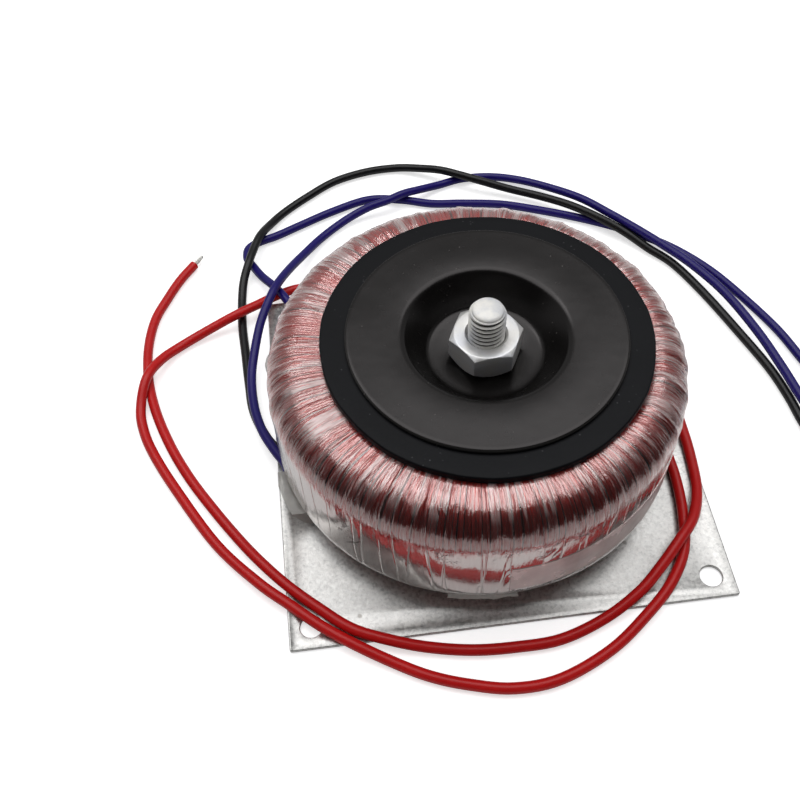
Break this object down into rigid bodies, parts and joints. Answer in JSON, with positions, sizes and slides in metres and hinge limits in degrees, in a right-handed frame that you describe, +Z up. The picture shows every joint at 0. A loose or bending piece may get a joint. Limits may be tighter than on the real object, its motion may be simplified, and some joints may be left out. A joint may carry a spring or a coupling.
{
  "type": "toroidal transformer",
  "caption": "Toroidal transformer with film-wrapped wire windings, clamped by a dished washer and a centre bolt to a square steel mounting plate, with loose coloured leads",
  "frame": {"origin": "middle of the plate's underside, under the bolt", "axes": "+Z up along the bolt, plate edges along X and Y, red leads at the front toward -Y"},
  "size_m": [0.2498, 0.1961, 0.0573],
  "materials": {
    "zinc_plate": "galvanised sheet",
    "pad_rubber": "matte",
    "core_steel": "wound strip",
    "film": "clear crinkled film",
    "copper_wire": "enamelled copper",
    "enamelled_wire": "red enamel",
    "strip": "bare strip",
    "tape": "adhesive tape",
    "tinned": "tinned copper",
    "dark_washer": "dark satin",
    "bright_zinc": "bright zinc",
    "red_pvc": "satin insulation",
    "blue_pvc": "satin insulation",
    "black_pvc": "satin insulation"
  },
  "bodies": {
    "root": {"base_plate": "zinc_plate", "lower_pad": "pad_rubber", "core": "core_steel", "core_insulation": "film", "primary_winding": "copper_wire", "winding_insulation": "film", "secondary_winding": "enamelled_wire", "outer_film": "film", "film_end_tab": "film", "label_strip": "strip", "primary_tape": "tape", "secondary_tape": "tape", "primary_joints": "tinned", "secondary_joints": "tinned", "upper_pad": "pad_rubber", "dished_washer": "dark_washer", "centre_bolt": "bright_zinc", "hex_nut": "bright_zinc", "red_lead_1": "red_pvc", "red_lead_2": "red_pvc", "blue_lead_1": "blue_pvc", "blue_lead_2": "blue_pvc", "black_lead": "black_pvc", "red_tip_1": "tinned", "red_tip_2": "tinned", "blue_tip_1": "tinned", "blue_tip_2": "tinned", "black_tip": "tinned"}
  },
  "joints": []
}
